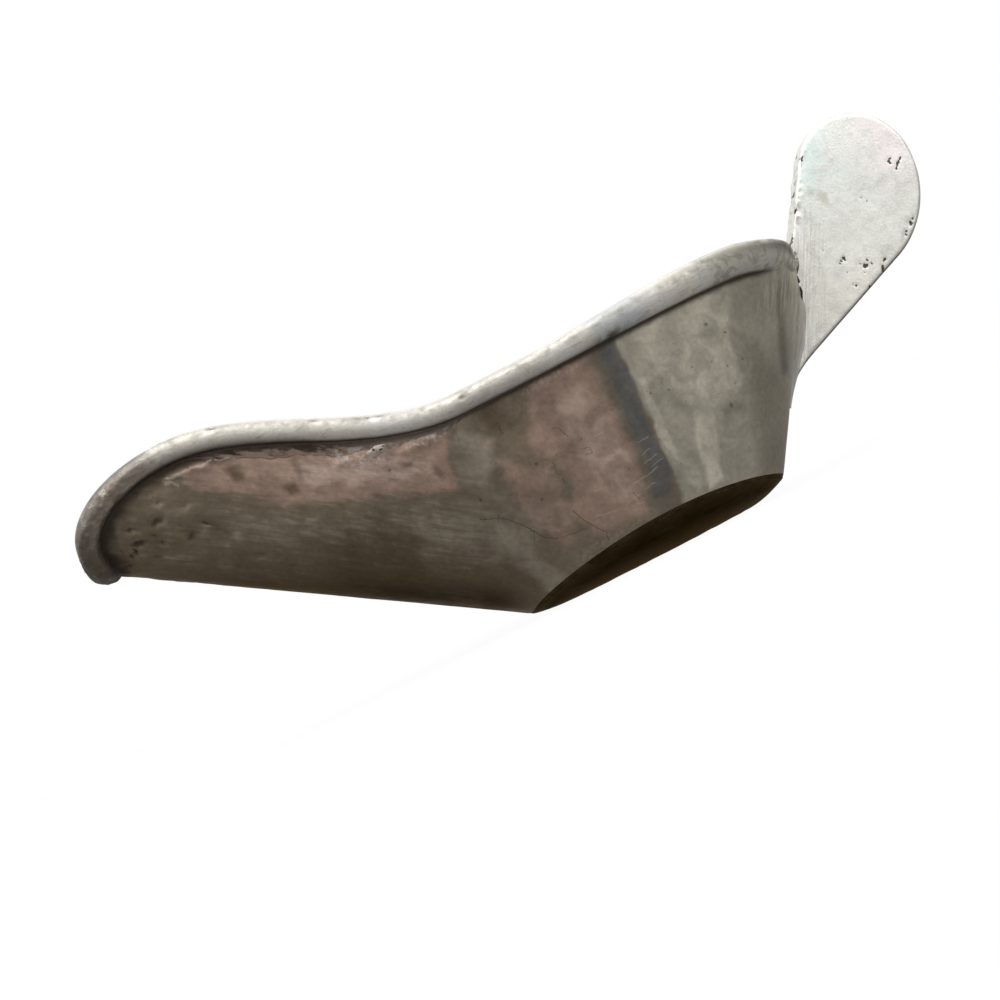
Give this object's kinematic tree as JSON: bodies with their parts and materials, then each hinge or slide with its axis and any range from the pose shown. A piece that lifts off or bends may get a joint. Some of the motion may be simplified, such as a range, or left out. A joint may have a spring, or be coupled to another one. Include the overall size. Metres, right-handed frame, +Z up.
{
  "type": "sauce boat",
  "caption": "Pewter sauce boat: an open oval bowl running out into a long rising trough spout, with a half-round rim band, a dished base and a flat upright handle plate at the back.",
  "frame": {"origin": "middle of the overall length, on the middle plane, on the surface that the boat stands on", "axes": "+Z up, -X towards the spout's lip, +X towards the handle plate, +Y to the left of someone who looks along +X"},
  "size_m": [0.1856, 0.0656, 0.0635],
  "materials": {
    "wall": "tarnished hammered pewter, satin",
    "base": "dark tarnished pewter, satin",
    "band": "rubbed bright pewter",
    "solder": "rough solder",
    "handle": "filed and rubbed cast pewter"
  },
  "bodies": {
    "root": {"bowl_wall": "wall", "bottom_plate": "base", "rim_band": "band", "rim_solder": "solder", "bottom_solder": "solder", "handle_plate": "handle", "handle_solder_left": "solder", "handle_solder_right": "solder"}
  },
  "joints": []
}
